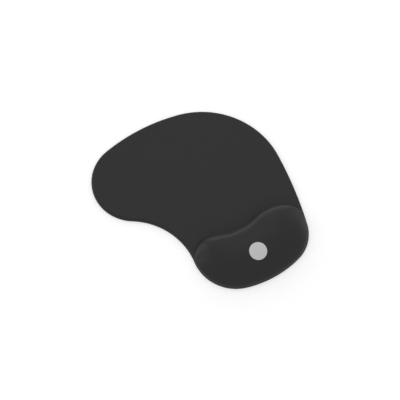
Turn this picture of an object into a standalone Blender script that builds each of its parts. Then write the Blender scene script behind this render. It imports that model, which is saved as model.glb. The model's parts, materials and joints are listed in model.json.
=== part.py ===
"""Mouse pad with a built-in gel wrist rest.

A right-handed, comma-shaped pad: a thin mouse area that swells into a gel-filled rest at the user's end.
It is a bonded stack. A rubber base carries a foam mat under the mouse area and a sealed gel pouch, which is
two films and the gel, under the wrist. One moulded knitted cover lies over all of it, and a round printed
patch is pressed on to the rest.

Metres, +Z up. +X runs to the right along the rest and +Y away from the user. The plan is drawn in its own
sketch frame, and the parent empty then puts the middle of the pad's box over the origin, on the desk.
"""

import bisect
import math
from collections import namedtuple

import bmesh
import bpy
import numpy as np
from mathutils import Vector
from mathutils.bvhtree import BVHTree
from mathutils.geometry import interpolate_bezier

# Plan: the four round corners, each with its centre across (X) and away from the user (Y)
TIP_RADIUS = 0.0495
TIP_ACROSS = -0.0563
TIP_AWAY = 0.0595
SHOULDER_RADIUS = 0.0972
SHOULDER_ACROSS = 0.0081
SHOULDER_AWAY = 0.0160
RIGHT_CORNER_RADIUS = 0.0435
RIGHT_CORNER_ACROSS = 0.0516
RIGHT_CORNER_AWAY = -0.0673
LEFT_CORNER_RADIUS = 0.0496
LEFT_CORNER_ACROSS = 0.0096
LEFT_CORNER_AWAY = -0.0636

# Plan: the long arcs that join those corners
FAR_EDGE_RADIUS = 0.2125
RIGHT_SIDE_RADIUS = 0.4690
USER_EDGE_RADIUS = 0.1228
WAIST_RADIUS = 0.0790

# Layers, and the glue line between two of them
BASE_THICKNESS = 0.0015
FOAM_THICKNESS = 0.0013
COVER_THICKNESS = 0.0006
FILM_THICKNESS = 0.0003
BOND_GAP = 0.0003

# The cover's edge: how far the base shows beyond it, and how far it leans in as it rises to its top face
EDGE_LIP = 0.0003
MOUSE_EDGE_RUN = 0.0022
REST_EDGE_RUN = 0.0008
EDGE_FADE = 0.0300

# Foot of the rest, where it rises out of the mouse area: two lobes with a dip between them
REST_DEPTH = 0.0765
DIP_DEPTH = 0.0050
LEFT_LOBE_ACROSS = -0.0140
DIP_ACROSS = 0.0220
RIGHT_LOBE_ACROSS = 0.0610
LEFT_MEET_DEPTH = 0.0570
RIGHT_MEET_DEPTH = 0.0530
MEET_LEAN = math.radians(20)

# Crown of the rest: a dome that rises from both feet, and on the far side a ramp that cuts it and leaves a ridge
REST_HEIGHT = 0.0200
FAR_WIDTH = 0.0320
NEAR_WIDTH = 0.0420
FAR_FULLNESS = 0.50
NEAR_FULLNESS = 0.70
LEFT_RAMP = math.radians(49)
RIGHT_RAMP = math.radians(55)
END_RAMP = math.radians(76)
END_RAMP_START = 0.0050
END_RAMP_REACH = 0.0300
RIDGE_BLEND = 0.0008
CREST_SETBACK = 0.0340
CREST_END_INSET = 0.0240

# Printed patch, placed from the user's edge
PRINT_DIAMETER = 0.0200
PRINT_ACROSS = 0.0260
PRINT_DEPTH = 0.0300
PRINT_THICKNESS = 0.0002

# Facets
OUTLINE_FACETS = 168
FAR_CURVE_FACETS = 6
MOUSE_EDGE_FACETS = 46
EDGE_RINGS = 3
CROWN_RINGS = 8
CREST_CROWDING = 1.3
FOOT_SAMPLES = 400
PRINT_FACETS = 48
PRINT_RINGS = 4

WALK_STEP = 0.0001
WELD_DISTANCE = 0.000001
CIRCLE_HANDLE = 0.5523
SHARP_ANGLE = math.radians(40)

base_top = BASE_THICKNESS
foam_bottom = base_top + BOND_GAP
foam_top = foam_bottom + FOAM_THICKNESS
pad_top = foam_top + BOND_GAP + COVER_THICKNESS

Corner = namedtuple("Corner", "centre radius")
Arc = namedtuple("Arc", "centre radius start sweep")


def angle_of(vector):
    return math.atan2(vector.y, vector.x)


def bridge_centre(first, second, radius, hollow=False):
    """Centre of the arc that touches two corners, on the pad's side of it, or outside for a hollow arc."""
    side = -1 if hollow else 1
    reach = radius - side * first.radius
    other_reach = radius - side * second.radius
    span = second.centre - first.centre
    along = (reach**2 - other_reach**2 + span.length_squared) / (2 * span.length)
    aside = math.sqrt(reach**2 - along**2)
    left = Vector((-span.y, span.x)).normalized()
    return first.centre + span.normalized() * along + left * aside * side


class Outline:
    """The pad's closed plan outline, walked anticlockwise from the lowest point of the user's edge."""

    def __init__(self):
        right = Corner(Vector((RIGHT_CORNER_ACROSS, RIGHT_CORNER_AWAY)), RIGHT_CORNER_RADIUS)
        shoulder = Corner(Vector((SHOULDER_ACROSS, SHOULDER_AWAY)), SHOULDER_RADIUS)
        tip = Corner(Vector((TIP_ACROSS, TIP_AWAY)), TIP_RADIUS)
        left = Corner(Vector((LEFT_CORNER_ACROSS, LEFT_CORNER_AWAY)), LEFT_CORNER_RADIUS)
        user = bridge_centre(left, right, USER_EDGE_RADIUS)
        side = bridge_centre(right, shoulder, RIGHT_SIDE_RADIUS)
        far = bridge_centre(shoulder, tip, FAR_EDGE_RADIUS)
        waist = bridge_centre(tip, left, WAIST_RADIUS, hollow=True)
        down = Vector((0, -1))
        turns = (
            (user, USER_EDGE_RADIUS, down, right.centre - user),
            (right.centre, right.radius, right.centre - user, right.centre - side),
            (side, RIGHT_SIDE_RADIUS, right.centre - side, shoulder.centre - side),
            (shoulder.centre, shoulder.radius, shoulder.centre - side, shoulder.centre - far),
            (far, FAR_EDGE_RADIUS, shoulder.centre - far, tip.centre - far),
            (tip.centre, tip.radius, tip.centre - far, waist - tip.centre),
            (waist, -WAIST_RADIUS, tip.centre - waist, left.centre - waist),
            (left.centre, left.radius, waist - left.centre, left.centre - user),
            (user, USER_EDGE_RADIUS, left.centre - user, down),
        )
        self.arcs = []
        self.starts = []
        self.length = 0
        for centre, radius, begin, end in turns:
            sweep = (angle_of(end) - angle_of(begin)) % math.tau
            if radius < 0:
                sweep -= math.tau
            self.arcs.append(Arc(centre, abs(radius), angle_of(begin), sweep))
            self.starts.append(self.length)
            self.length += abs(radius * sweep)

    def at(self, distance):
        """The point at a distance along the outline, and the outward direction there."""
        distance %= self.length
        index = bisect.bisect_right(self.starts, distance) - 1
        arc = self.arcs[index]
        turn = math.copysign(1, arc.sweep)
        angle = arc.start + turn * (distance - self.starts[index]) / arc.radius
        outward = Vector((math.cos(angle), math.sin(angle)))
        return arc.centre + outward * arc.radius, outward * turn

    def walk_to_level(self, level, step):
        """Distance walked from the user's edge, one way or the other, until the outline reaches a level."""
        distance = 0
        while self.at(distance)[0].y < level:
            distance += step
        return distance


def lerp(first, second, share):
    return first + (second - first) * share


def edge_rings(samples, rest_share):
    """Rings of the cover's turned-down edge, from its cut rim on the base to the top face."""
    rings = []
    for step in range(EDGE_RINGS + 1):
        angle = math.pi / 2 * step / EDGE_RINGS
        height = lerp(foam_bottom, pad_top, math.sin(angle))
        ring = []
        for (point, outward), share in zip(samples, rest_share):
            mouse_inset = MOUSE_EDGE_RUN * (1 - math.cos(angle))
            rest_inset = REST_EDGE_RUN * math.sin(angle)
            place = point - outward * (EDGE_LIP + lerp(mouse_inset, rest_inset, share))
            ring.append((place.x, place.y, height))
        rings.append(ring)
    return np.array(rings)


def far_foot(left_meet, right_meet, level):
    """The rest's far foot in plan, from its left meeting with the edge to its right one."""
    knots = (
        Vector(left_meet[:2]),
        Vector((LEFT_LOBE_ACROSS, level)),
        Vector((DIP_ACROSS, level - DIP_DEPTH)),
        Vector((RIGHT_LOBE_ACROSS, level)),
        Vector(right_meet[:2]),
    )
    lean_in = Vector((math.sin(MEET_LEAN), math.cos(MEET_LEAN)))
    leaves = (lean_in, Vector((1, 0)), Vector((1, 0)), Vector((1, 0)))
    arrives = (Vector((-1, 0)), Vector((-1, 0)), Vector((-1, 0)), Vector((-lean_in.x, lean_in.y)))
    points = []
    for start, end, leave, arrive in zip(knots, knots[1:], leaves, arrives):
        rise, run = abs(end.y - start.y), abs(end.x - start.x)
        leave_reach = CIRCLE_HANDLE * (rise if leave is lean_in else run)
        arrive_reach = CIRCLE_HANDLE * (run if arrive.y == 0 else rise)
        first_handle = start + leave * leave_reach
        second_handle = end + arrive * arrive_reach
        stretch = interpolate_bezier(start, first_handle, second_handle, end, FAR_CURVE_FACETS + 1)
        points.extend(stretch[1:] if points else stretch)
    return np.array([point.to_2d() for point in points])


def smooth_step(value, low, high):
    share = np.clip((value - low) / (high - low), 0, 1)
    return share * share * (3 - 2 * share)


def smooth_gap(places, row):
    """Distance from places to a row of points, without the crease that a nearest distance has inside a bend.

    All points of the row count, by the sixth power of their nearness. On a straight row that sum is
    3 pi / 8 d^5 for each unit of length, so the distance d comes back from it.
    """
    marks = np.concatenate(([0], np.cumsum(np.linalg.norm(np.diff(row, axis=0), axis=1))))
    wanted = np.linspace(0, marks[-1], FOOT_SAMPLES)
    samples = np.column_stack([np.interp(wanted, marks, axis) for axis in row.T])
    squared = ((places[:, None] - samples[None]) ** 2).sum(axis=2) + WELD_DISTANCE**2
    nearness = wanted[1] * (squared**-3).sum(axis=1)
    return (3 * math.pi / (8 * nearness)) ** (1 / 5)


def dome_side(gap, width, fullness):
    """One side of the dome, from 0 at its foot to 1 where it is level; a fullness of 1/2 is a quarter ellipse."""
    outward = np.clip(1 - gap / width, 0, 1)
    return (1 - outward**2) ** fullness


def crown_rise(places, near_foot, foot):
    """How far the rest rises above the mouse area at plan places: the lower of the dome and the far ramp."""
    near_gap, far_gap = smooth_gap(places, near_foot), smooth_gap(places, foot)
    dome = dome_side(far_gap, FAR_WIDTH, FAR_FULLNESS) * dome_side(near_gap, NEAR_WIDTH, NEAR_FULLNESS)
    dome *= (REST_HEIGHT - pad_top) / dome.max()
    ramp_angle = lerp(LEFT_RAMP, RIGHT_RAMP, smooth_step(places[:, 0], DIP_ACROSS, RIGHT_LOBE_ACROSS))
    ramp_share = smooth_step(near_gap, END_RAMP_START, END_RAMP_REACH)
    ramp = far_gap * np.tan(lerp(END_RAMP, ramp_angle, ramp_share))
    closeness = np.maximum(1 - np.abs(dome - ramp) / RIDGE_BLEND, 0)
    return np.maximum(np.minimum(dome, ramp) - closeness**2 * RIDGE_BLEND / 4, 0)


def crown_rings(near_foot, foot):
    """Rings of the rest's outer surface, from its foot all round up to the crest, which they share."""
    crest_across = np.clip(foot[:, 0], foot[0, 0] + CREST_END_INSET, foot[-1, 0] - CREST_END_INSET)
    lobed = slice(FAR_CURVE_FACETS, 3 * FAR_CURVE_FACETS + 1)
    foot_line = np.interp(crest_across, foot[lobed, 0], foot[lobed, 1])
    crest = np.column_stack((crest_across, foot_line - CREST_SETBACK))

    # The loop runs along the user's side from left to right, then back along the far foot
    back = slice(-2, 0, -1)
    loop = np.vstack((near_foot[:, :2], foot[back]))
    inner = np.vstack((crest, crest[back]))
    steps = np.arange(CROWN_RINGS + 1) / CROWN_RINGS
    outward = np.cos(math.pi / 2 * (1 - (1 - steps) ** CREST_CROWDING))
    plan = np.array([lerp(inner, loop, share) for share in outward])
    rise = crown_rise(plan.reshape(-1, 2), near_foot[:, :2], foot).reshape(plan.shape[:2])
    rise[0] = 0
    return np.dstack((plan, pad_top + rise))


def sunk_rings(rings, depth, bottom):
    """The rest's surface moved in by a depth, with a wall under its foot that goes down to a level."""
    around = np.roll(rings, -1, axis=1) - np.roll(rings, 1, axis=1)
    upward = np.gradient(rings, axis=0)
    outward = np.cross(around, upward)
    outward[-1] = (0, 0, 1)
    outward /= np.linalg.norm(outward, axis=2, keepdims=True)
    sunk = rings - outward * depth
    wall_foot = sunk[:1].copy()
    wall_foot[..., 2] = bottom
    return np.concatenate((wall_foot, sunk))


def loft(mesh, rings, downwards=False):
    """Bands of triangles between closed rings that all have as many points.

    The bands of nested layers are cut along the same diagonals, whichever way they run, so they stay apart.
    """
    rows = [[mesh.verts.new(point) for point in ring] for ring in rings]
    for lower, upper in zip(rows, rows[1:]):
        for index in range(len(lower)):
            after = (index + 1) % len(lower)
            first, last = (upper[index], lower[after]) if downwards else (upper[after], lower[index])
            mesh.faces.new((lower[index], lower[after], first))
            mesh.faces.new((last, upper[after], upper[index]))
    return rows


def plain_material(name, color, roughness):
    material = bpy.data.materials.new(name)
    material.use_nodes = True
    shader = material.node_tree.nodes["Principled BSDF"]
    shader.inputs["Base Color"].default_value = (*color, 1)
    shader.inputs["Roughness"].default_value = roughness
    shader.inputs["Metallic"].default_value = 0
    return material


def add_part(name, data, material):
    part = bpy.data.objects.new(name, data)
    data.materials.append(material)
    parts.objects.link(part)
    part.parent = pad
    return part


def add_surface(name, mesh, material):
    """A part from a bmesh, welded where its lofts meet and shaded smooth between its creases."""
    bmesh.ops.remove_doubles(mesh, verts=mesh.verts, dist=WELD_DISTANCE)
    data = bpy.data.meshes.new(name)
    mesh.to_mesh(data)
    data.shade_smooth()
    data.set_sharp_from_angle(angle=SHARP_ANGLE)
    return add_part(name, data, material)


def add_plate(name, outline, bottom, thickness, material):
    """A flat sheet cut to an outline."""
    curve = bpy.data.curves.new(name, "CURVE")
    curve.dimensions = "2D"
    curve.fill_mode = "BOTH"
    curve.extrude = thickness / 2
    spline = curve.splines.new("POLY")
    spline.points.add(len(outline) - 1)
    for target, point in zip(spline.points, outline):
        target.co = (point[0], point[1], 0, 1)
    spline.use_cyclic_u = True
    plate = add_part(name, curve, material)
    plate.location.z = bottom + thickness / 2
    return plate


def add_shell(part, thickness, outwards=False):
    shell = part.modifiers.new("shell", "SOLIDIFY")
    shell.thickness = thickness
    shell.offset = 1 if outwards else -1
    return shell


def make_cover(rim, rest, flat_top):
    """The one moulded knit: a turned-down edge all round, the flat mouse area and the swell of the rest."""
    mesh = bmesh.new()
    loft(mesh, rim)
    loft(mesh, rest)
    mesh.faces.new([mesh.verts.new((*point, pad_top)) for point in flat_top])
    cover = add_surface("knit_cover", mesh, plain_material("black_knit", (0.035, 0.035, 0.036), 0.9))
    add_shell(cover, COVER_THICKNESS)
    surface = BVHTree.FromBMesh(mesh)
    mesh.free()
    return cover, surface


def make_gel_pouch(rest):
    """The gel and the two films that seal it, each a glue line inside the one before it."""
    film_bottom = base_top + BOND_GAP
    gel_bottom = film_bottom + FILM_THICKNESS + BOND_GAP
    film = plain_material("clear_film", (0.62, 0.66, 0.70), 0.25)

    film_depth = COVER_THICKNESS + BOND_GAP
    outside = sunk_rings(rest, film_depth, gel_bottom)
    inside = sunk_rings(rest, film_depth + FILM_THICKNESS, gel_bottom)
    dome = bmesh.new()
    loft(dome, outside)
    loft(dome, np.concatenate((inside[::-1], outside[:1])), downwards=True)
    add_surface("gel_film_upper", dome, film)
    dome.free()

    add_plate("gel_film_lower", outside[0], film_bottom, FILM_THICKNESS, film)

    gel_depth = film_depth + FILM_THICKNESS + BOND_GAP
    gel = bmesh.new()
    rows = loft(gel, sunk_rings(rest, gel_depth, gel_bottom))
    gel.faces.new(rows[0][::-1])
    add_surface("gel_core", gel, plain_material("soft_gel", (0.55, 0.68, 0.74), 0.15))
    gel.free()


def make_print(cover, surface, user_edge):
    """The thin round patch, drawn flat on the rest's slope and then pressed down to follow it."""
    above = Vector((PRINT_ACROSS, user_edge + PRINT_DEPTH, 2 * REST_HEIGHT))
    touch, normal, _, _ = surface.ray_cast(above, Vector((0, 0, -1)))
    spoke = bmesh.new()
    ends = [spoke.verts.new((PRINT_DIAMETER / 2 * step / PRINT_RINGS, 0, 0)) for step in range(PRINT_RINGS + 1)]
    for start, end in zip(ends, ends[1:]):
        spoke.edges.new((start, end))
    patch = add_surface("print_patch", spoke, plain_material("grey_print", (0.48, 0.48, 0.48), 0.6))
    spoke.free()
    patch.location = touch
    patch.rotation_euler = normal.to_track_quat("Z", "Y").to_euler()

    turn = patch.modifiers.new("turn", "SCREW")
    turn.steps = PRINT_FACETS
    turn.render_steps = PRINT_FACETS
    turn.use_merge_vertices = True
    turn.merge_threshold = WELD_DISTANCE
    press = patch.modifiers.new("press", "SHRINKWRAP")
    press.target = cover
    press.wrap_method = "PROJECT"
    press.wrap_mode = "ABOVE_SURFACE"
    press.use_project_z = True
    press.use_negative_direction = True
    press.use_positive_direction = True
    press.offset = BOND_GAP
    add_shell(patch, PRINT_THICKNESS, outwards=True)


for leftover in list(bpy.data.objects):
    bpy.data.objects.remove(leftover, do_unlink=True)
parts = bpy.data.collections.new("wrist_rest_mouse_pad")
bpy.context.scene.collection.children.link(parts)
pad = bpy.data.objects.new("wrist_rest_mouse_pad", None)
parts.objects.link(pad)

outline = Outline()
base_outline = np.array([outline.at(outline.length * i / OUTLINE_FACETS)[0] for i in range(OUTLINE_FACETS)])
low_corner, high_corner = base_outline.min(axis=0), base_outline.max(axis=0)
pad.location = (*(-(low_corner + high_corner) / 2), 0)
user_edge = low_corner[1]

# The edge is sampled from the left meeting round the user's side to the right one, then round the mouse area
left_meet = outline.walk_to_level(user_edge + LEFT_MEET_DEPTH, -WALK_STEP)
right_meet = outline.walk_to_level(user_edge + RIGHT_MEET_DEPTH, WALK_STEP)
rest_facets = 4 * FAR_CURVE_FACETS
rest_walk = np.linspace(left_meet, right_meet, rest_facets + 1)
mouse_walk = np.linspace(right_meet, left_meet + outline.length, MOUSE_EDGE_FACETS + 1)[1:-1]
past_meet = np.minimum(mouse_walk - right_meet, left_meet + outline.length - mouse_walk)
rest_share = np.concatenate((np.ones(len(rest_walk)), np.clip(1 - past_meet / EDGE_FADE, 0, 1)))
walk = np.concatenate((rest_walk, mouse_walk))
rim = edge_rings([outline.at(distance) for distance in walk], rest_share)

top_edge = rim[-1]
near_foot = top_edge[: rest_facets + 1]
foot = far_foot(near_foot[0], near_foot[-1], user_edge + REST_DEPTH)
rest = crown_rings(near_foot, foot)
flat_top = np.vstack((top_edge[rest_facets:, :2], foot[:-1]))
foam_inset = EDGE_LIP + MOUSE_EDGE_RUN
foam_edge = [point - outward * foam_inset for point, outward in map(outline.at, mouse_walk)]
foam_outline = np.vstack((foam_edge, foot[1:-1]))

add_plate("rubber_base", base_outline, 0, BASE_THICKNESS, plain_material("black_rubber", (0.02, 0.02, 0.02), 0.7))
add_plate("foam_mat", foam_outline, foam_bottom, FOAM_THICKNESS, plain_material("grey_foam", (0.08, 0.08, 0.085), 0.95))
make_gel_pouch(rest)
cover, cover_surface = make_cover(rim, rest, flat_top)
make_print(cover, cover_surface, user_edge)
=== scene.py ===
# %% [markdown]
# # A gel mouse pad, dressed over its CAD frame
#
# The object is a flat, comma-shaped mouse pad that swells into a soft wrist rest at the user's end. Under
# one moulded knit lie a foam sheet, a sealed gel pouch and a rubber base, all bonded to each other. The CAD
# solids already hold the sizes, so this script only gives each layer its real surface and finish.
# Everything is in metres, with +Z up and +Y away from the user, in the same frame as the CAD.

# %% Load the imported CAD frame
import json
import math

import bmesh
import bpy
import numpy as np
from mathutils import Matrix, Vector, noise
from mathutils.bvhtree import BVHTree
from mathutils.geometry import delaunay_2d_cdt

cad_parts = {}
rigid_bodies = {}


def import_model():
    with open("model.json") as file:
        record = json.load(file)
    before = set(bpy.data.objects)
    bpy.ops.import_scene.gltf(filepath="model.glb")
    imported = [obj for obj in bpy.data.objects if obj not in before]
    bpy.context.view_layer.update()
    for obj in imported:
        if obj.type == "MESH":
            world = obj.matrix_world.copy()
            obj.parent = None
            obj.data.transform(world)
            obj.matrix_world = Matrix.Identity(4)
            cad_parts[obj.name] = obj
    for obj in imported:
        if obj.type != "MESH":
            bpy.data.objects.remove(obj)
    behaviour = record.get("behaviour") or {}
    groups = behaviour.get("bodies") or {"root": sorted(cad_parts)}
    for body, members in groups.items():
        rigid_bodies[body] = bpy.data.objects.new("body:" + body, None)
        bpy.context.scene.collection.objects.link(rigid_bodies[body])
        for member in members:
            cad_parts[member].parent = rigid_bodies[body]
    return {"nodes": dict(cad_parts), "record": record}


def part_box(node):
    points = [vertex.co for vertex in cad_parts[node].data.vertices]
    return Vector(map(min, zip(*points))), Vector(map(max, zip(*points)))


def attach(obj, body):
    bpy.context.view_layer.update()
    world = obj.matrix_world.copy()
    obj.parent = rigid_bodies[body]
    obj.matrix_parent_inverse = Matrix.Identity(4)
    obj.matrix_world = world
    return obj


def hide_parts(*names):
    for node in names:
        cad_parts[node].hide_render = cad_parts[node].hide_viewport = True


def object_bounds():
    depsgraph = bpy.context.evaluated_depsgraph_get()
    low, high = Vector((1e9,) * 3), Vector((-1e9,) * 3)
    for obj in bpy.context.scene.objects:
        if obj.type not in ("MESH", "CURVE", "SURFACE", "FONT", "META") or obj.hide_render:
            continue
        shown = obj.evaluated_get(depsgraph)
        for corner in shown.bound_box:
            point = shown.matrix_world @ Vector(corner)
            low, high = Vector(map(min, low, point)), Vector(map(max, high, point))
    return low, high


MM_PER_M = 1000


def mm(metres, digits=1):
    """A length in millimetres, rounded to be printed."""
    return round(MM_PER_M * float(metres), digits)


for leftover in list(bpy.data.objects):
    bpy.data.objects.remove(leftover, do_unlink=True)
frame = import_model()
cad_low, cad_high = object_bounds()
scene = bpy.context.scene
print("CAD box in mm:", [mm(side) for side in cad_high - cad_low])

# %% [markdown]
# ## Camera
#
# The photograph looks down steeply on the pad from the front left. A long lens far away keeps the plan's
# proportions, as a catalogue picture does. An empty and a Track To constraint could aim it, but one
# direction from two angles says the same and leaves nothing behind in the scene.

# %% Camera
CAMERA_AZIMUTH = math.radians(-27)
CAMERA_ELEVATION = math.radians(68)
CAMERA_DISTANCE = 1.30
CAMERA_AIM = Vector((-0.0007, 0.0033, 0.0040))
LENS_MM = 103.1


def toward(azimuth, elevation):
    """The direction from the pad to something seen at an azimuth from the user's side and an elevation."""
    level = math.cos(elevation)
    return Vector((math.sin(azimuth) * level, -math.cos(azimuth) * level, math.sin(elevation)))


camera = bpy.data.objects.new("camera", bpy.data.cameras.new("camera"))
camera.data.lens = LENS_MM
view_from = toward(CAMERA_AZIMUTH, CAMERA_ELEVATION)
camera.location = CAMERA_AIM + view_from * CAMERA_DISTANCE
camera.rotation_euler = view_from.to_track_quat("Z", "Y").to_euler()
scene.collection.objects.link(camera)
scene.camera = camera
print("camera at", [round(value, 3) for value in camera.location])

# %% [markdown]
# ## Light
#
# The knit is almost black, so the rest is drawn by one thin highlight along its far ridge, with a darker
# valley between the ridge and the mouse area. The highlight is the gloss of something bright and low behind
# the pad, so three low strip lights stand in an arc behind and beside it, where a studio has its lit
# backdrop. The level mouse area mirrors the ceiling instead, and a weak softbox there gives it its soft
# grey. One large lamp could do both, but its highlight would spread over the whole rest. With the sky they
# light a level surface at about 1, so a colour renders about as it is written.

# %% Lamps
LAMP_DISTANCE = 1.30
LAMPS = {
    "right_strip": {"azimuth": 90, "elevation": 11, "size": (0.60, 0.30), "watts": 0.5},
    "back_strip": {"azimuth": 157, "elevation": 14, "size": (1.50, 0.50), "watts": 2.9},
    "left_strip": {"azimuth": 225, "elevation": 14, "size": (0.60, 0.50), "watts": 1.8},
    "top_softbox": {"azimuth": 153, "elevation": 66, "size": (0.80, 0.80), "watts": 0.8},
}

scene.view_settings.view_transform = "Standard"
for name, facts in LAMPS.items():
    lamp = bpy.data.objects.new(name, bpy.data.lights.new(name, "AREA"))
    lamp.data.shape = "RECTANGLE"
    lamp.data.size, lamp.data.size_y = facts["size"]
    lamp.data.energy = facts["watts"]
    lamp.visible_camera = False
    shines_from = toward(math.radians(facts["azimuth"]), math.radians(facts["elevation"]))
    lamp.location = shines_from * LAMP_DISTANCE
    lamp.rotation_euler = shines_from.to_track_quat("Z", "Y").to_euler()
    scene.collection.objects.link(lamp)
print(len(LAMPS), "lamps,", round(sum(facts["watts"] for facts in LAMPS.values()), 1), "W in all")

# %% [markdown]
# ## Nodes in one line
#
# A shader is a tree of small nodes, and most of the nodes here are arithmetic. Setting up a Math node takes
# four lines, so one helper makes the node, fills its sockets with numbers or links, and hands on its
# result. Formulas then read almost as they would on paper.

# %% Node helpers
def math_of(tree, operation, *values):
    """The result of a Math node whose inputs are numbers or other nodes' outputs."""
    node = tree.nodes.new("ShaderNodeMath")
    node.operation = operation
    for socket, value in zip(node.inputs, values):
        if isinstance(value, bpy.types.NodeSocket):
            tree.links.new(value, socket)
        else:
            socket.default_value = value
    return node.outputs[0]


def remap(tree, value, from_range, to_range):
    """A value carried from one range to another, and held at its ends."""
    node = tree.nodes.new("ShaderNodeMapRange")
    tree.links.new(value, node.inputs["Value"])
    node.inputs["From Min"].default_value, node.inputs["From Max"].default_value = from_range
    node.inputs["To Min"].default_value, node.inputs["To Max"].default_value = to_range
    return node.outputs["Result"]


def seen_directly(tree):
    """1 for a ray from the camera, also by way of a gloss or a clear film, and 0 for other light."""
    path = tree.nodes.new("ShaderNodeLightPath").outputs
    by_gloss = math_of(tree, "MAXIMUM", path["Is Camera Ray"], path["Is Glossy Ray"])
    return math_of(tree, "MAXIMUM", by_gloss, path["Is Transmission Ray"])


print("node helpers ready")

# %% [markdown]
# ## Sky and table
#
# The background is plain white. A sky of strength 1 would be white but would light the pad too much, so the
# sky is white only for what the camera sees, also in a gloss, and dimmer as a light. The table gets the
# same help: a white that only reflects would come out a little grey, so to the camera it also glows a
# little. That lifts it to white, and the pad's own shadow stays on it.

# %% Sky
SKY_STRENGTH = 0.86

sky = bpy.data.worlds.new("sky")
sky.use_nodes = True
scene.world = sky
background = sky.node_tree.nodes["Background"]
background.inputs["Color"].default_value = (1, 1, 1, 1)
sky_level = remap(sky.node_tree, seen_directly(sky.node_tree), (0, 1), (SKY_STRENGTH, 1))
sky.node_tree.links.new(sky_level, background.inputs["Strength"])
print("sky lights at", SKY_STRENGTH)

# %% Table
TABLE_SIDE = 8.0
TABLE_WHITE = 0.80
TABLE_GLOW = 0.26

table_mesh = bpy.data.meshes.new("table")
reach = TABLE_SIDE / 2
corners = [(-reach, -reach, 0), (reach, -reach, 0), (reach, reach, 0), (-reach, reach, 0)]
table_mesh.from_pydata(corners, [], [(0, 1, 2, 3)])
table = bpy.data.objects.new("table", table_mesh)
scene.collection.objects.link(table)

table_white = bpy.data.materials.new("table_white")
table_white.use_nodes = True
white = table_white.node_tree.nodes["Principled BSDF"]
white.inputs["Base Color"].default_value = (TABLE_WHITE, TABLE_WHITE, TABLE_WHITE, 1)
white.inputs["Roughness"].default_value = 1
white.inputs["Specular IOR Level"].default_value = 0
white.inputs["Emission Color"].default_value = (1, 1, 1, 1)
glow = math_of(table_white.node_tree, "MULTIPLY", seen_directly(table_white.node_tree), TABLE_GLOW)
table_white.node_tree.links.new(glow, white.inputs["Emission Strength"])
table_mesh.materials.append(table_white)
print("table", TABLE_SIDE, "m wide")

# %% [markdown]
# ## Reading the plan from the solids
#
# Every layer is cut to the same comma-shaped plan. That plan could be drawn again here, but then two
# drawings would have to agree. Instead the lines are read from the CAD solids: the edge of the base's top
# face is the pad's outline, and the edge of the faces that rise above the mouse surface is the foot of the
# rest. A solid's corners come apart at each triangle when it is packed, so they are welded first.

# %% Read the outline and the foot of the rest
WELD_DISTANCE = 0.000001
LEVEL_TOLERANCE = 0.0001
UPRIGHT = 0.05


def edge_of(node, wanted):
    """The closed edge round some of a node's faces, as anticlockwise plan points."""
    mesh = bmesh.new()
    mesh.from_mesh(frame["nodes"][node].data)
    bmesh.ops.remove_doubles(mesh, verts=mesh.verts, dist=WELD_DISTANCE)
    others = [face for face in mesh.faces if not wanted(face)]
    bmesh.ops.delete(mesh, geom=others, context="FACES")
    following = {}
    for edge in mesh.edges:
        if edge.is_boundary:
            side = edge.link_loops[0]
            following[side.vert] = side.link_loop_next.vert
    corner = next(iter(following))
    row = []
    while corner in following:
        row.append(corner.co.to_2d())
        corner = following.pop(corner)
    mesh.free()
    return np.array(row)


def faces_up(face):
    return face.normal.z > UPRIGHT


def rises(face):
    """True for the faces of the rest: they look up, and they reach above the mouse surface."""
    return faces_up(face) and max(corner.co.z for corner in face.verts) > mouse_level + LEVEL_TOLERANCE


mounts = {mount["name"]: mount for mount in frame["record"]["mounts"]}
mouse_level = mounts["mouse_surface"]["pos_m"][2]
base_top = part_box("rubber_base")[1].z
rest_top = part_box("knit_cover")[1].z
base_corners = edge_of("rubber_base", faces_up)
rest_corners = edge_of("knit_cover", rises)
print(len(base_corners), "points round the pad,", len(rest_corners), "round the rest")

# %% [markdown]
# ## A finer outline
#
# The solids have few facets, to stay light. A curve object with automatic handles would round them, and so
# does a Catmull-Rom spline, a cubic that passes through every point. It is four lines of arithmetic on
# whole rows of points, and it gives the outward direction at each point too, from which insets are drawn.

# %% Smooth rows of points
OUTLINE_POINTS = 520
SPLINE_STEPS = 12


def spline(points, closed):
    """A smooth row of points through a row of points: a Catmull-Rom spline."""
    if closed:
        padded_row = np.vstack((points[-1:], points, points[:2]))
    else:
        first = 2 * points[0] - points[1]
        last = 2 * points[-1] - points[-2]
        padded_row = np.vstack((first, points, last))
    before, start, end, after = (padded_row[i : len(padded_row) - 3 + i, None] for i in range(4))
    share = (np.arange(SPLINE_STEPS) / SPLINE_STEPS)[None, :, None]
    bend = 2 * before - 5 * start + 4 * end - after
    twist = 3 * start - before - 3 * end + after
    row = start + ((end - before) * share + bend * share**2 + twist * share**3) / 2
    row = row.reshape(-1, points.shape[1])
    return row if closed else np.vstack((row, points[-1:]))


def walked(path):
    """How far along a row each of its points is."""
    steps = np.linalg.norm(np.diff(path, axis=0), axis=1)
    return np.concatenate(([0], np.cumsum(steps)))


def evenly(points, count, closed):
    """Points evenly spaced along a row."""
    path = np.vstack((points, points[:1])) if closed else points
    marks = walked(path)
    wanted = np.linspace(0, marks[-1], count, endpoint=not closed)
    return np.column_stack([np.interp(wanted, marks, axis) for axis in path.T])


def outward_of(loop):
    """The outward direction at each point of an anticlockwise loop."""
    ahead = np.roll(loop, -1, axis=0) - np.roll(loop, 1, axis=0)
    across = np.column_stack((ahead[:, 1], -ahead[:, 0]))
    return across / np.linalg.norm(across, axis=1, keepdims=True)


outline_curve = spline(base_corners, closed=True)
outline = evenly(outline_curve, OUTLINE_POINTS, closed=True)
outward = outward_of(outline)
print("outline is", mm(walked(np.vstack((outline, outline[:1])))[-1]), "mm round")

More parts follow.
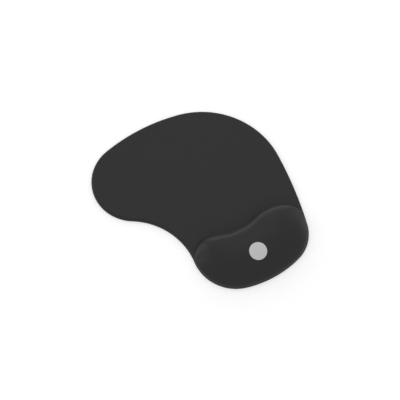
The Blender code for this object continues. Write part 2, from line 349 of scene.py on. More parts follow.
# %% [markdown]
# ## The foot of the rest
#
# The rest is a low cushion: a short wall rises from the mouse surface to a ridge, and behind the ridge a
# long, shallow dome falls to the user. Its foot was read from the solids. The points of that foot which
# keep one distance from the pad's edge are the user's side, and the others are the far side.

# %% Foot of the rest
FINE_POINTS = 4000
FOOT_POINTS = 600


def gap_to(points, row):
    """Distance from each point to the nearest point of a row."""
    return np.linalg.norm(points[:, None] - row[None], axis=2).min(axis=1)


edge_gap = gap_to(rest_corners, evenly(outline_curve, FINE_POINTS, closed=True))
nose_inset = edge_gap.min()
on_user_side = edge_gap < nose_inset + LEVEL_TOLERANCE
first_near = np.flatnonzero(on_user_side & ~np.roll(on_user_side, 1))[0]
rest_corners = np.roll(rest_corners, -first_near, axis=0)
near_count = on_user_side.sum()
far_corners = np.vstack((rest_corners[:1], rest_corners[: near_count - 2 : -1]))
near_foot = evenly(spline(rest_corners[:near_count], closed=False), FOOT_POINTS, closed=False)
far_foot = evenly(spline(far_corners, closed=False), FOOT_POINTS, closed=False)
foot = np.vstack((near_foot, far_foot[-2:0:-1]))
print("nose inset", mm(nose_inset), "mm, far foot", mm(walked(far_foot)[-1]), "mm long")

# %% [markdown]
# ## The form of the crown
#
# The crown's height depends on how far a place is from the two feet. The nearest distance would leave
# creases in the middle of each bend, so a smooth distance is used: the points of the foot all count, with
# the sixth power of their nearness. For a straight line that sum is 3π / (8 d⁵), so d comes back from it
# exactly. Each side of the dome follows (1 - u²)^q, with u running from 1 at the foot to 0 at the full
# height; q = 1/2 is a quarter ellipse. The right side, which falls to the pad's edge, has a q of its own.

# %% Dome function
FAR_WIDTH = 0.0320
NEAR_WIDTH = 0.0420
FAR_DOME = 0.50
NEAR_DOME = 0.70
SIDE_DOME = 0.62
SIDE_CHANGE = (0.060, 0.090)
SWELL_ROOM = 0.0003
TINY = 1e-9


def lerp(first, second, share):
    """A value between two values: the first at a share of 0, and the second at 1."""
    return first + (second - first) * share


def smooth_step(value, low, high):
    """0 below a low value, 1 above a high one, and a smooth rise between them."""
    share = np.clip((value - low) / (high - low), 0, 1)
    return share * share * (3 - 2 * share)


def inside(points, loop):
    """True for the points within a closed row, by counting how often a line to the right crosses it."""
    crossings = np.zeros(len(points), int)
    for start, end in zip(loop, np.roll(loop, -1, axis=0)):
        spans = (start[1] > points[:, 1]) != (end[1] > points[:, 1])
        if start[1] != end[1]:
            crossing = start[0] + (points[:, 1] - start[1]) / (end[1] - start[1]) * (end[0] - start[0])
            crossings += spans & (points[:, 0] < crossing)
    return crossings % 2 == 1


def smooth_gap(points, row):
    """Distance from each point to a row of points, without creases."""
    nearness = np.zeros(len(points))
    for place in row:
        squared = ((points - place) ** 2).sum(axis=1) + TINY**2
        nearness += 1 / squared**3
    step = walked(row)[-1] / (len(row) - 1)
    return (3 * math.pi / (8 * step * nearness)) ** (1 / 5)


def dome_side(gap, width, fullness):
    """The height of one side of the dome, as a share of the full height."""
    outward_share = np.clip(1 - gap / width, 0, 1)
    return (1 - outward_share**2) ** fullness


def dome_rise(places, far_gap, near_gap):
    """How high the dome alone would rise above the mouse surface."""
    near_fullness = lerp(NEAR_DOME, SIDE_DOME, smooth_step(places[:, 0], *SIDE_CHANGE))
    far_share = dome_side(far_gap, FAR_WIDTH, FAR_DOME)
    return full_rise * far_share * dome_side(near_gap, NEAR_WIDTH, near_fullness)


full_rise = rest_top - SWELL_ROOM - mouse_level
print("dome rises", mm(full_rise), "mm above the mouse surface")

# %% [markdown]
# ## The wall and the ridge
#
# On the far side the mould cuts the dome with a wall. A wall that follows a power of the distance, a little
# under 1, is steep at its foot and leans back towards the ridge, as stretched knit does. A smooth minimum
# of wall and dome rounds the ridge between them: tightly along the middle, and softly at the left end,
# where it runs out.

# %% Crown function
LEFT_WALL = math.radians(49)
RIGHT_WALL = math.radians(54)
END_WALL = math.radians(46)
WALL_CHANGE = (0.025, 0.060)
WALL_REACH = 0.0100
WALL_BEND = 0.68
END_BEND = 0.85
END_REACH = (0.010, 0.045)
RIDGE_BLEND = 0.0010
END_BLEND = 0.0075
BLEND_SHARE = 0.8
HOLLOW_DEPTH = 0.0006
NOWHERE = -1.0


def smooth_minimum(first, second, blend):
    """The lower of two heights, rounded where they are closer to each other than the blend."""
    closeness = np.maximum(1 - np.abs(first - second) / blend, 0)
    return np.minimum(first, second) - closeness**2 * blend / 4


def crown_heights(plan):
    """Heights of the crown over plan points, and far below everything where there is none."""
    on_crown = inside(plan, foot)
    places = plan[on_crown]
    far_gap = smooth_gap(places, far_foot)
    near_gap = smooth_gap(places, near_foot)
    dome = dome_rise(places, far_gap, near_gap)
    to_right = smooth_step(places[:, 0], *WALL_CHANGE)
    from_end = np.maximum(smooth_step(near_gap, *END_REACH), to_right)
    lean = lerp(END_WALL, lerp(LEFT_WALL, RIGHT_WALL, to_right), from_end)
    bend = lerp(END_BEND, WALL_BEND, from_end)
    wall = np.tan(lean) * WALL_REACH * (far_gap / WALL_REACH) ** bend - HOLLOW_DEPTH
    blend = np.minimum(lerp(END_BLEND, RIDGE_BLEND, from_end), BLEND_SHARE * dome + TINY)
    heights = np.full(len(plan), NOWHERE)
    heights[on_crown] = mouse_level + smooth_minimum(dome, wall, blend)
    return heights


print("walls of", [round(math.degrees(lean)) for lean in (END_WALL, LEFT_WALL, RIGHT_WALL)], "degrees")

# %% [markdown]
# ## The height of the cover at any place
#
# The cover is one knit. Round the mouse area it is pressed down to the base in a quarter round, along the
# rest it stands on a short nose, and between the two it is level. Along the far foot of the rest the mould
# presses it down into a shallow hollow. The height at a place is the higher of that sheet and the crown, so
# the fold between them stays crisp. Foam and glue are never quite even, so the sheet also waves by a few
# hundredths of a millimetre.

# %% Height function
EDGE_LIP = 0.0003
EDGE_RUN = 0.0022
EDGE_FADE = 0.0300
BOND_LINE = 0.00002
HOLLOW_REACH = 0.0160
WAVE_REACH = (0.0015, 0.0080)
WAVE_HEIGHT = 0.00004
WAVE_LENGTH = 0.016

past_rest = np.maximum(gap_to(outline, near_foot) - nose_inset - LEVEL_TOLERANCE, 0)
rest_share = np.clip(1 - past_rest / EDGE_FADE, 0, 1)


def waves(plan, length):
    """Smooth random values from about -1 to 1 over plan points, with hills about a length apart."""
    return np.array([noise.noise(Vector((x, y, 0)) / length) for x, y in plan])


def hollow(plan):
    """How deep the sheet is pressed in along the far foot of the rest."""
    return HOLLOW_DEPTH * np.clip(1 - gap_to(plan, far_foot) / HOLLOW_REACH, 0, 1) ** 2


def edge_height(inset, share, top):
    """Height of the pressed edge at an inset: a quarter round, or a straight nose at the rest."""
    round_part = np.clip((inset - EDGE_LIP) / EDGE_RUN, 0, 1)
    nose_part = np.clip((inset - EDGE_LIP) / (nose_inset - EDGE_LIP), 0, 1)
    profile = lerp(np.sqrt(1 - (1 - round_part) ** 2), nose_part, share)
    return lerp(base_top + BOND_LINE, top, profile)


def cover_heights(plan, inset, share):
    """Heights of the knit's top at plan points with a known inset from the outline."""
    uneven = waves(plan, WAVE_LENGTH) * WAVE_HEIGHT * smooth_step(inset, *WAVE_REACH)
    sheet_level = edge_height(inset, share, mouse_level - hollow(plan)) + uneven
    return np.maximum(sheet_level, crown_heights(plan))


print(f"rest takes {(rest_share == 1).mean():.0%} of the edge")

# %% [markdown]
# ## Laying the net
#
# A knit stretches alike in every direction, so its mesh should have cells of one shape all over. A plain
# grid would end in steps at the outline. Here closed rings follow the edge, close together where it bends
# down, and a field of points in triangles fills the middle. The field is finer on the rest, which bends
# more, and a row of points lies in the valley itself, so that the fold stays crisp. Delaunay triangulation
# joins them all.

# %% Edge rings and inner fields
EDGE_INSETS_MM = (0.3, 0.36, 0.5, 0.7, 0.95, 1.25, 1.6, 2.0, 2.5, 3.1, 3.8, 4.7)
FIELD_SPACING = 0.0017
FINE_SPACING = 0.00085
CLEARANCE_SHARE = 0.7


def triangle_field(spacing):
    """Plan points in rows shifted by half a step, and a mask of every third one, no two side by side."""
    row_height = spacing * math.sqrt(3) / 2
    points, thirds = [], []
    for row, y in enumerate(np.arange(cad_low.y, cad_high.y, row_height)):
        offset = spacing / 2 * (row % 2)
        for column, x in enumerate(np.arange(cad_low.x, cad_high.x, spacing)):
            points.append((x + offset, y))
            thirds.append((column - row // 2 - row) % 3 == 0)
    points, thirds = np.array(points), np.array(thirds)
    kept = inside(points, last_ring)
    points, thirds = points[kept], thirds[kept]
    kept = gap_to(points, last_ring) > spacing * CLEARANCE_SHARE
    return points[kept], thirds[kept]


edge_insets = np.array(EDGE_INSETS_MM) / MM_PER_M
ring_plans = [outline - outward * inset for inset in edge_insets]
last_ring = ring_plans[-1]
field, field_thirds = triangle_field(FIELD_SPACING)
fine_field, _ = triangle_field(FINE_SPACING)
print(len(ring_plans), "rings,", len(field), "coarse points and", len(fine_field), "fine points")

# %% Fill the middle
FINE_MARGIN = 0.0030
CDT_INSIDE = 1


def fill(rim, middle):
    """Triangles that fill a closed row of points with the points in its middle, numbered after the row."""
    points = [Vector(point) for point in np.vstack((rim, middle))]
    edges = [(index, (index + 1) % len(rim)) for index in range(len(rim))]
    made = delaunay_2d_cdt(points, edges, [list(range(len(rim)))], CDT_INSIDE, TINY)
    source = [found[0] for found in made[3]]
    return [tuple(source[corner] for corner in face) for face in made[2]]


valley = evenly(far_foot, round(walked(far_foot)[-1] / FINE_SPACING), closed=False)
valley = valley[inside(valley, last_ring)]
valley = valley[gap_to(valley, last_ring) > FINE_SPACING * CLEARANCE_SHARE]
fine_gap = gap_to(fine_field, far_foot)
near_rest = inside(fine_field, foot) | (fine_gap < FINE_MARGIN)
on_rest = fine_field[near_rest & (fine_gap > FINE_SPACING * CLEARANCE_SHARE)]
off_rest = field[~inside(field, foot) & (gap_to(field, far_foot) > FINE_MARGIN + FINE_SPACING)]
knit_field = np.vstack((valley, on_rest, off_rest))
knit_faces = fill(last_ring, knit_field)
print(len(knit_field), "points in the field,", len(knit_faces), "triangles")

# %% Heights of the net
def ring_faces(rings, around):
    """Faces between closed rings of points that are numbered one ring after the other."""
    faces = []
    for ring in range(rings - 1):
        low, high = ring * around, (ring + 1) * around
        for index in range(around):
            after = (index + 1) % around
            faces.append((low + index, low + after, high + after, high + index))
    return faces


net_inset = np.concatenate((np.repeat(edge_insets, OUTLINE_POINTS), gap_to(knit_field, outline)))
net_share = np.concatenate((np.tile(rest_share, len(edge_insets)), np.zeros(len(knit_field))))
net_plan = np.vstack((*ring_plans, knit_field))
net_points = np.column_stack((net_plan, cover_heights(net_plan, net_inset, net_share)))
net_faces = ring_faces(len(edge_insets), OUTLINE_POINTS)
last_start = (len(edge_insets) - 1) * OUTLINE_POINTS
net_faces += [tuple(last_start + corner for corner in face) for face in knit_faces]
print("net:", len(net_points), "points, highest", mm(net_points[:, 2].max()), "mm")

# %% [markdown]
# ## Blowing up the rest
#
# Gel under a stretched knit bulges as a cushion does. A formula alone makes that bulge too even, so a patch
# of knit over the rest is blown up with the Cloth modifier: its rim is held, gravity is off, and a pressure
# lifts its middle. The dome starts a little low to leave room for it. How far each place of the patch rose,
# up to a cap, is added to the net, and the patch is removed again. The pressure also pulls the ridge flat
# and leaves fine ripples. On the pad the mould has set the ridge and the gel holds the knit smooth, so the
# rise is averaged with what is round it and fades out towards the foot.

# %% Cloth patch
SWELL_PRESSURE = 4.0
SWELL_FRAMES = 20
KNIT_POINT_MASS = 0.01
KNIT_STRETCH = 0.5
KNIT_SHEAR = 0.2
KNIT_BENDING = 0.01


def blown_up(points, faces, held):
    """How far the points of a patch of knit rise when a pressure lifts it and some points are held."""
    mesh = bpy.data.meshes.new("knit_patch")
    mesh.from_pydata(points.tolist(), [], faces)
    patch = bpy.data.objects.new("knit_patch", mesh)
    scene.collection.objects.link(patch)
    patch.vertex_groups.new(name="held").add(held, 1, "REPLACE")
    cloth = patch.modifiers.new("cloth", "CLOTH")
    cloth.settings.vertex_group_mass = "held"
    cloth.settings.mass = KNIT_POINT_MASS
    cloth.settings.tension_stiffness = KNIT_STRETCH
    cloth.settings.compression_stiffness = KNIT_STRETCH
    cloth.settings.shear_stiffness = KNIT_SHEAR
    cloth.settings.bending_stiffness = KNIT_BENDING
    cloth.settings.use_pressure = True
    cloth.settings.uniform_pressure_force = SWELL_PRESSURE
    cloth.settings.effector_weights.gravity = 0
    cloth.collision_settings.use_collision = False
    for number in range(1, SWELL_FRAMES + 1):
        scene.frame_set(number)
    solved = patch.evaluated_get(bpy.context.evaluated_depsgraph_get()).data
    heights = np.array([corner.co.z for corner in solved.vertices])
    scene.frame_set(1)
    bpy.data.objects.remove(patch, do_unlink=True)
    return heights - points[:, 2]


print("patch swells for", SWELL_FRAMES, "frames")

# %% Blow up the rest
REST_RIM = 420
SWELL_CAP = 0.0005
SWELL_BLUR = 0.0060
SWELL_RAMP = 0.0140
ABOVE_ALL = 0.1
DOWN = Vector((0, 0, -1))


def field_within(rim):
    """The points of the coarse field that lie inside a closed row, and not too close to it."""
    points = field[inside(field, rim)]
    return points[gap_to(points, rim) > FIELD_SPACING * CLEARANCE_SHARE]


rest_rim = evenly(foot, REST_RIM, closed=True)
patch_plan = np.vstack((rest_rim, field_within(rest_rim)))
patch_faces = fill(rest_rim, patch_plan[REST_RIM:])
risen = np.zeros(len(patch_plan))
patch_heights = np.maximum(crown_heights(patch_plan), mouse_level - HOLLOW_DEPTH)
risen = blown_up(np.column_stack((patch_plan, patch_heights)), patch_faces, list(range(REST_RIM)))
squared_gaps = ((patch_plan[:, None] - patch_plan[None]) ** 2).sum(axis=2)
closeness = np.exp(-squared_gaps / SWELL_BLUR**2)
lift = closeness @ np.clip(risen, 0, SWELL_CAP) / closeness.sum(axis=1)
lift *= smooth_step(gap_to(patch_plan, rest_rim), 0, SWELL_RAMP)
lifted = BVHTree.FromPolygons(np.column_stack((patch_plan, lift)).tolist(), patch_faces)


def swell(plan):
    """How far the patch rose over plan points, and 0 beside it."""
    found = [lifted.ray_cast(Vector((x, y, ABOVE_ALL)), DOWN)[0] for x, y in plan]
    return np.array([top.z if top else 0 for top in found])


net_points[:, 2] += swell(net_plan)
print("patch rose", mm(lift.max(), 2), "mm, rest is", mm(net_points[:, 2].max(), 2), "mm high")

# %% [markdown]
# ## The knit cover
#
# On the real pad the cover is a thin jersey, heat-pressed in a mould and glued down, so it has no seam
# anywhere. The net is its outside. A Solidify modifier gives it its thickness on the inside, where the
# other layers leave room for it. Each point also keeps its distance from the edge, so that the finish can
# tell the pressed rim.

# %% Make the cover
COVER_THICKNESS = 0.0006
FOLD_ANGLE = math.radians(25)


def make_piece(name, points, faces, replaced):
    """A smooth mesh piece that rides with the pad and takes the place of a solid."""
    mesh = bpy.data.meshes.new(name)
    mesh.from_pydata(np.asarray(points).tolist(), [], faces)
    mesh.shade_smooth()
    piece = bpy.data.objects.new(name, mesh)
    scene.collection.objects.link(piece)
    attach(piece, "root")
    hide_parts(replaced)
    return piece


def thicken(piece, thickness):
    """Gives a surface its thickness, on its inner side."""
    shell = piece.modifiers.new("thickness", "SOLIDIFY")
    shell.thickness = thickness
    shell.offset = -1


cover = make_piece("moulded_knit", net_points, net_faces, "knit_cover")
cover.data.set_sharp_from_angle(angle=FOLD_ANGLE)
from_edge = cover.data.attributes.new("from_edge", "FLOAT", "POINT")
from_edge.data.foreach_set("value", net_inset)
thicken(cover, COVER_THICKNESS)
print(cover.name, len(cover.data.polygons), "faces")

# %% [markdown]
# ## The round print
#
# A round patch of pale grey ink is pressed on to the rest. It lies in the slope of the cushion, so it could
# be a flat disc pressed down with a Shrinkwrap modifier. Here its rings are drawn on the slope and dropped
# on to the cover point by point, which also gives the ink its soft, thin edge.

# %% Make the print
PRINT_RADIUS = 0.0100
PRINT_RINGS = 14
PRINT_AROUND = 96
PRINT_LIFT = 0.00005
INK_THICKNESS = 0.00008
INK_EDGE = 0.0004

knit_surface = BVHTree.FromPolygons(net_points.tolist(), net_faces)
print_low, print_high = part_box("print_patch")
print_middle = (print_low + print_high) / 2
seat, slope, _, _ = knit_surface.ray_cast(Vector((print_middle.x, print_middle.y, ABOVE_ALL)), DOWN)
lay_flat = slope.to_track_quat("Z", "Y")


def drop(radius, angle, height):
    """The place on the cover under a point of the print, raised off it by a height."""
    over = seat + lay_flat @ Vector((radius * math.cos(angle), radius * math.sin(angle), ABOVE_ALL))
    place, normal, _, _ = knit_surface.ray_cast(over, -slope)
    return place + normal * height


def ink_lift(radius):
    """The ink's top above the knit: level in the middle, and round at its edge."""
    edge_share = min((PRINT_RADIUS - radius) / INK_EDGE, 1)
    return PRINT_LIFT + INK_THICKNESS * math.sqrt(1 - (1 - edge_share) ** 2)


angles = np.arange(PRINT_AROUND) * math.tau / PRINT_AROUND
radii = PRINT_RADIUS * (1 - (np.arange(PRINT_RINGS) / PRINT_RINGS) ** 2)[::-1]
print_points = [drop(radius, angle, PRINT_LIFT) for radius in radii for angle in angles]
print_points += [drop(radius, angle, ink_lift(radius)) for radius in radii[-2::-1] for angle in angles]
print_faces = ring_faces(2 * PRINT_RINGS - 1, PRINT_AROUND)
print_faces.append(tuple(range(PRINT_AROUND - 1, -1, -1)))
print_faces.append(tuple(range(len(print_points) - PRINT_AROUND, len(print_points))))
ink = make_piece("round_print", print_points, print_faces, "print_patch")
print(ink.name, "seated at", mm(seat.z), "mm")

# %% [markdown]
# ## The rubber base
#
# Underneath is a sheet of natural rubber, calendered with a fine non-slip texture and cut to the outline
# with the knit. A bump in the material could show the texture, but it is a real relief, so it is made in
# the mesh: every third point of the same field of triangles is pushed in, which gives rows of small pits
# with a plain margin.

# %% Make the base
BASE_CHAMFER = 0.00015
PIT_DEPTH = 0.00030
HARD_EDGE = math.radians(30)


def ring_at(inset, height):
    """A closed ring that follows the outline at an inset and a height."""
    return np.column_stack((outline - outward * inset, np.full(OUTLINE_POINTS, height)))


pits = np.column_stack((field, np.where(field_thirds, PIT_DEPTH, 0)))
base_rings = [
    ring_at(edge_insets[-1], 0),
    ring_at(BASE_CHAMFER, 0),
    ring_at(0, BASE_CHAMFER),
    ring_at(0, base_top - BASE_CHAMFER),
    ring_at(BASE_CHAMFER, base_top),
]
base_points = np.vstack((*base_rings, pits))
base_faces = ring_faces(len(base_rings), OUTLINE_POINTS)
top_start = (len(base_rings) - 1) * OUTLINE_POINTS
for face in fill(last_ring, field):
    shifted = [corner + (top_start if corner >= OUTLINE_POINTS else 0) for corner in reversed(face)]
    base_faces.append(tuple(shifted))
for face in fill(base_rings[-1][:, :2], np.empty((0, 2))):
    base_faces.append(tuple(top_start + corner for corner in face))
base = make_piece("rubber_sheet", base_points, base_faces, "rubber_base")
base.data.set_sharp_from_angle(angle=HARD_EDGE)
print(base.name, field_thirds.sum(), "pits,", len(base.data.polygons), "faces")

# %% [markdown]
# ## The foam sheet
#
# Under the mouse area lies a thin sheet of open-cell foam, cut to end at the foot of the rest. Its place is
# inside the other layers, so only its outline and its slightly uneven faces are made, and the finish shows
# its pores.

# %% Make the foam
FOAM_POINTS = 360
FOAM_WAVE_HEIGHT = 0.00004
FOAM_WAVE_LENGTH = 0.004

foam_low, foam_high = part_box("foam_mat")
foam_edge = evenly(edge_of("foam_mat", faces_up), FOAM_POINTS, closed=True)
foam_field = field_within(foam_edge)
foam_plan = np.vstack((foam_edge, foam_field))
foam_waves = FOAM_WAVE_HEIGHT * waves(foam_plan, FOAM_WAVE_LENGTH)
foam_bottom_points = np.column_stack((foam_plan, foam_low.z - np.minimum(foam_waves, 0)))
foam_top_points = np.column_stack((foam_plan, foam_high.z - np.maximum(foam_waves, 0) - hollow(foam_plan)))
upper_start = len(foam_plan)
foam_faces = []
for face in fill(foam_edge, foam_field):
    foam_faces.append(tuple(reversed(face)))
    foam_faces.append(tuple(upper_start + corner for corner in face))
for index in range(FOAM_POINTS):
    after = (index + 1) % FOAM_POINTS
    foam_faces.append((index, after, upper_start + after, upper_start + index))
foam_points = np.vstack((foam_bottom_points, foam_top_points))
foam = make_piece("foam_sheet", foam_points, foam_faces, "foam_mat")
foam.data.set_sharp_from_angle(angle=HARD_EDGE)
print(foam.name, len(foam.data.polygons), "faces")

# %% [markdown]
# ## The gel pouch
#
# The rest is filled with a soft gel, sealed between a moulded film and a flat one. Both follow the crown at
# a set depth under the knit. Moving a finished mesh inwards along its normals can fold it where it is
# tight, so the crown's height is lowered instead. A steep place is lowered more, by depth × √(1 + slope²),
# which keeps the layer equally thick. A wall under the foot closes the pouch down to the flat film, which
# stays as the CAD has it.

# %% Make the film and the gel
FILM_DEPTH = 0.0009
FILM_THICKNESS = 0.0003
GEL_DEPTH = 0.0015
SLOPE_STEP = 0.0002

rest_outward = outward_of(rest_rim)
gel_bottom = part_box("gel_core")[0].z


def pouch_layer(depth):
    """Points and faces of the crown's underside at a depth, with a wall down to the flat film."""
    rim = rest_rim - rest_outward * depth
    middle = field_within(rim)
    plan = np.vstack((rim, middle))
    heights = crown_heights(plan)
    slope_x = (crown_heights(plan + (SLOPE_STEP, 0)) - heights) / SLOPE_STEP
    slope_y = (crown_heights(plan + (0, SLOPE_STEP)) - heights) / SLOPE_STEP
    lowered = heights + swell(plan) - depth * np.sqrt(1 + slope_x**2 + slope_y**2)
    top = np.column_stack((plan, np.maximum(lowered, gel_bottom + depth)))
    wall_foot = np.column_stack((rim, np.full(REST_RIM, gel_bottom)))
    faces = ring_faces(2, REST_RIM)
    faces += [tuple(REST_RIM + corner for corner in face) for face in fill(rim, middle)]
    return np.vstack((wall_foot, top)), faces


film_points, film_faces = pouch_layer(FILM_DEPTH)
film = make_piece("film_dome", film_points, film_faces, "gel_film_upper")
thicken(film, FILM_THICKNESS)

gel_points, gel_faces = pouch_layer(GEL_DEPTH)
gel_faces.append(tuple(range(REST_RIM - 1, -1, -1)))
gel = make_piece("gel_cushion", gel_points, gel_faces, "gel_core")
print(film.name, len(film.data.polygons), "faces,", gel.name, len(gel.data.polygons), "faces")

# %% [markdown]
# ## Soft pieces
#
# The cover, the foam and the gel are soft.

# %% [markdown]
# ## Finishes that are shared
#
# Three effects come back in several materials: a faint cloudiness, the stitches of the knit, which also
# show through the ink, and the pores of foam and rubber. Each is a node group, built once. All of them read
# the piece's own coordinates, in metres, so they stay in place in every view and keep their real scale.

# %% Group helpers
VALUE = "NodeSocketFloat"
VECTOR = "NodeSocketVector"


def new_group(name, takes, gives):
    """An empty node group, its input node's sockets and its output node."""
    group = bpy.data.node_groups.new(name, "ShaderNodeTree")
    for label, kind in takes.items():
        group.interface.new_socket(label, in_out="INPUT", socket_type=kind)
    for label in gives:
        group.interface.new_socket(label, in_out="OUTPUT", socket_type=VALUE)
    return group, group.nodes.new("NodeGroupInput").outputs, group.nodes.new("NodeGroupOutput")


def texture(tree, kind, position, size, detail=0):
    """A noise or Voronoi texture with features of about a size."""
    node = tree.nodes.new(kind)
    tree.links.new(position, node.inputs["Vector"])
    tree.links.new(math_of(tree, "DIVIDE", 1, size), node.inputs["Scale"])
    node.inputs["Detail"].default_value = detail
    return node.outputs


print("group helpers ready")

# %% Cloudiness
CLOUD_DETAIL = 3.0
NOISE_MIDDLE = 0.5

cloud_takes = {"Position": VECTOR, "Size": VALUE, "Contrast": VALUE}
cloudy, cloud_in, cloud_out = new_group("cloudy", cloud_takes, ["Shade"])
cloud = texture(cloudy, "ShaderNodeTexNoise", cloud_in["Position"], cloud_in["Size"], CLOUD_DETAIL)
swing = math_of(cloudy, "SUBTRACT", cloud["Fac"], NOISE_MIDDLE)
shade = math_of(cloudy, "MULTIPLY_ADD", swing, cloud_in["Contrast"], 1)
cloudy.links.new(shade, cloud_out.inputs["Shade"])
print(cloudy.name, "ready")

# %% [markdown]
# ## Stitches
#
# A jersey knit is columns of V-shaped stitches. Each column has two legs of yarn that lean towards its
# middle, and along a leg the loops follow each other. So the yarn's roundness comes from the place across a
# column, and its loops from a cosine along the column, shifted by the lean. At the edge of a leg the yarn
# dips low, and the materials paint a little shade there.

# %% Stitches group
LEG_LEAN = 0.6
LOOP_DEPTH = 0.4

stitch_takes = {"Position": VECTOR, "Wale": VALUE, "Course": VALUE}
stitches, stitch_in, stitch_out = new_group("knit_stitches", stitch_takes, ["Height"])
axes = stitches.nodes.new("ShaderNodeSeparateXYZ")
stitches.links.new(stitch_in["Position"], axes.inputs[0])
column = math_of(stitches, "FRACT", math_of(stitches, "DIVIDE", axes.outputs["X"], stitch_in["Wale"]))
course = math_of(stitches, "DIVIDE", axes.outputs["Y"], stitch_in["Course"])
beside = math_of(stitches, "ABSOLUTE", math_of(stitches, "MULTIPLY_ADD", column, 2, -1))
leg = math_of(stitches, "SINE", math_of(stitches, "MULTIPLY", beside, math.pi))
leaning = math_of(stitches, "MULTIPLY_ADD", beside, LEG_LEAN, course)
loop_wave = math_of(stitches, "COSINE", math_of(stitches, "MULTIPLY", leaning, math.tau))
loops = math_of(stitches, "MULTIPLY_ADD", loop_wave, LOOP_DEPTH, 1 - LOOP_DEPTH)
stitches.links.new(math_of(stitches, "MULTIPLY", leg, loops), stitch_out.inputs["Height"])
print(stitches.name, "ready")

# %% [markdown]
# ## Pores
#
# Foam is full of small cells, and pressed rubber has a fine grain. A noise texture would give hills without
# walls between them. A Voronoi texture gives the distance to the nearest of many scattered points: as a
# height, that is a field of rounded pits with ridges between them.

# %% Pores group
pores, pore_in, pore_out = new_group("pores", {"Position": VECTOR, "Size": VALUE}, ["Height"])
cells = texture(pores, "ShaderNodeTexVoronoi", pore_in["Position"], pore_in["Size"])
pores.links.new(cells["Distance"], pore_out.inputs["Height"])
print(pores.name, "ready")

# %% [markdown]
# ## Materials
#
# Every finish starts from the Principled shader. Its colour is a plain colour times a shade that changes
# over the surface, and its normal comes from a Bump node that reads a height in metres. What is the same
# all over, such as the gloss level, is set on the shader itself.

# %% Material helpers
def new_finish(name, roughness, gloss):
    """A Principled material, with its tree, its shader and the piece's own coordinates."""
    material = bpy.data.materials.new(name)
    material.use_nodes = True
    tree = material.node_tree
    shader = tree.nodes["Principled BSDF"]
    shader.inputs["Roughness"].default_value = roughness
    shader.inputs["Specular IOR Level"].default_value = gloss
    position = tree.nodes.new("ShaderNodeTexCoord").outputs["Object"]
    return material, tree, shader, position


def use_group(tree, group, position, **values):
    """The outputs of a node group that is placed in a material with its own values."""
    node = tree.nodes.new("ShaderNodeGroup")
    node.node_tree = group
    tree.links.new(position, node.inputs["Position"])
    for label, value in values.items():
        node.inputs[label].default_value = value
    return node.outputs


def set_color(tree, shader, color, shade):
    """The shader's colour: one colour, made lighter or darker by a shade that is about 1."""
    node = tree.nodes.new("ShaderNodeVectorMath")
    node.operation = "SCALE"
    node.inputs[0].default_value = color
    tree.links.new(shade, node.inputs["Scale"])
    tree.links.new(node.outputs[0], shader.inputs["Base Color"])


def set_relief(tree, shader, height, depth):
    """Bends the shader's normal as a relief of a depth in metres would."""
    node = tree.nodes.new("ShaderNodeBump")
    node.inputs["Distance"].default_value = depth
    tree.links.new(height, node.inputs["Height"])
    tree.links.new(node.outputs[0], shader.inputs["Normal"])


print("material helpers ready")

# %% [markdown]
# ## Black knit
#
# Matt black jersey: almost no colour, a soft gloss from the polyester yarn, and a painted shade that
# darkens its colour where the stitches are low, between them. Near the edge the heat has pressed it flat,
# so its stitches fade out there. Seen at a flat angle, the loose fibres scatter the gloss, so a Layer
# Weight node makes the knit rougher where it turns away.

# %% Black knit
KNIT_BLACK = (0.0145, 0.0145, 0.0148)
KNIT_ROUGHNESS = 0.35
KNIT_GRAZING = 0.80
GRAZING_RANGE = (0.50, 0.80)
KNIT_GLOSS = 0.22
KNIT_WALE = 0.00060
KNIT_COURSE = 0.00048
STITCH_DEPTH = 0.00001
PAINTED_STITCH_SHADE = (0.88, 1.04)
PRESSED_WIDTH = (0.0005, 0.0030)
KNIT_CLOUD = 0.012
KNIT_CONTRAST = 0.16

black_knit, knit_tree, knit_shader, knit_place = new_finish("black_knit", KNIT_ROUGHNESS, KNIT_GLOSS)
knit_cloud = use_group(knit_tree, cloudy, knit_place, Size=KNIT_CLOUD, Contrast=KNIT_CONTRAST)["Shade"]
knit_height = use_group(knit_tree, stitches, knit_place, Wale=KNIT_WALE, Course=KNIT_COURSE)["Height"]
edge_value = knit_tree.nodes.new("ShaderNodeAttribute")
edge_value.attribute_name = "from_edge"
unpressed = remap(knit_tree, edge_value.outputs["Fac"], PRESSED_WIDTH, (0, 1))
stitch_relief = math_of(knit_tree, "MULTIPLY", knit_height, unpressed)
# painted shade: the knit's colour is darker where the stitch height is low, between the stitches
painted_stitch_shade = remap(knit_tree, knit_height, (0, 1), PAINTED_STITCH_SHADE)
set_color(knit_tree, knit_shader, KNIT_BLACK, math_of(knit_tree, "MULTIPLY", knit_cloud, painted_stitch_shade))
set_relief(knit_tree, knit_shader, stitch_relief, STITCH_DEPTH)
knit_turn = knit_tree.nodes.new("ShaderNodeLayerWeight").outputs["Facing"]
knit_rough = remap(knit_tree, knit_turn, GRAZING_RANGE, (KNIT_ROUGHNESS, KNIT_GRAZING))
knit_tree.links.new(knit_rough, knit_shader.inputs["Roughness"])
cover.data.materials.append(black_knit)
print(black_knit.name, "on", cover.name)

# %% [markdown]
# ## Grey ink
#
# The ink is a pale grey film that sinks into the knit, so the same stitches show through it, but shallower.
# A fainter painted shade darkens it between the stitches.

# %% Grey ink
INK_GREY = (0.520, 0.520, 0.520)
INK_ROUGHNESS = 0.55
INK_GLOSS = 0.30
INK_STITCH_DEPTH = 0.00002
INK_PAINTED_STITCH_SHADE = (0.95, 1.02)
INK_CLOUD = 0.003
INK_CONTRAST = 0.06

